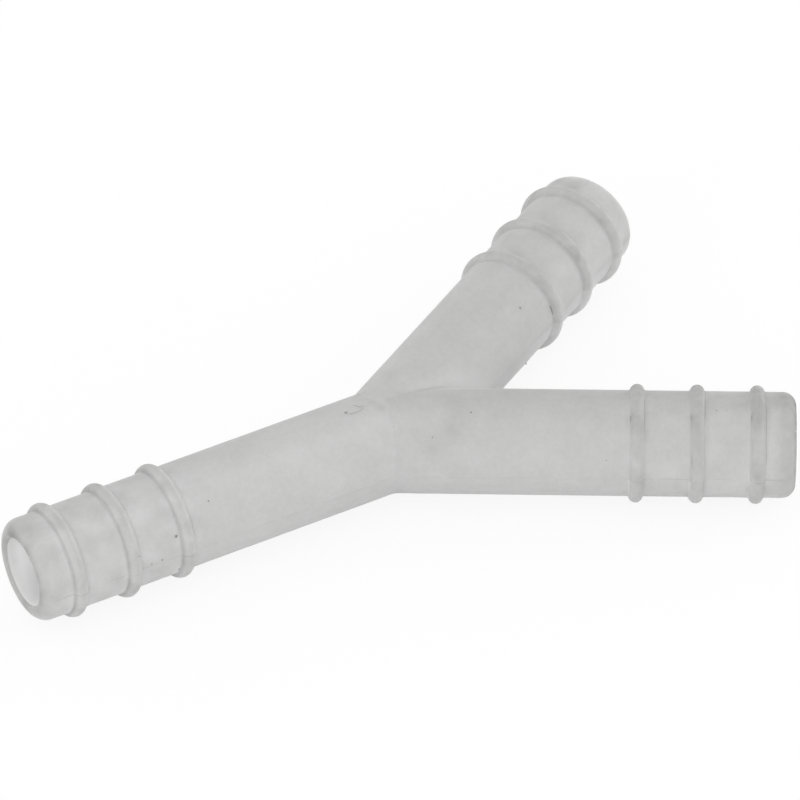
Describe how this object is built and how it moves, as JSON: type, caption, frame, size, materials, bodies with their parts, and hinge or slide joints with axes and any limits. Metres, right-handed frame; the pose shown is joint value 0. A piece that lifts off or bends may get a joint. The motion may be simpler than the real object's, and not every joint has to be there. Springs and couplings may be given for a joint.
{
  "type": "tubing y connector",
  "caption": "One-piece moulded Y connector for flexible tubing: a stem and two branches with rounded grip rings near each rounded open end, joined by straight bores.",
  "frame": {"origin": "the point where the axes of the bores cross, in the plane in which all of them lie", "axes": "-X along the stem towards its open end, +X midway between the branches, +Z square to the plane of the Y, up as it lies"},
  "size_m": [0.0787, 0.0492, 0.0118],
  "materials": {
    "natural_polypropylene": "satin, milky translucent, as moulded"
  },
  "bodies": {
    "root": {"y_connector": "natural_polypropylene"}
  },
  "joints": []
}
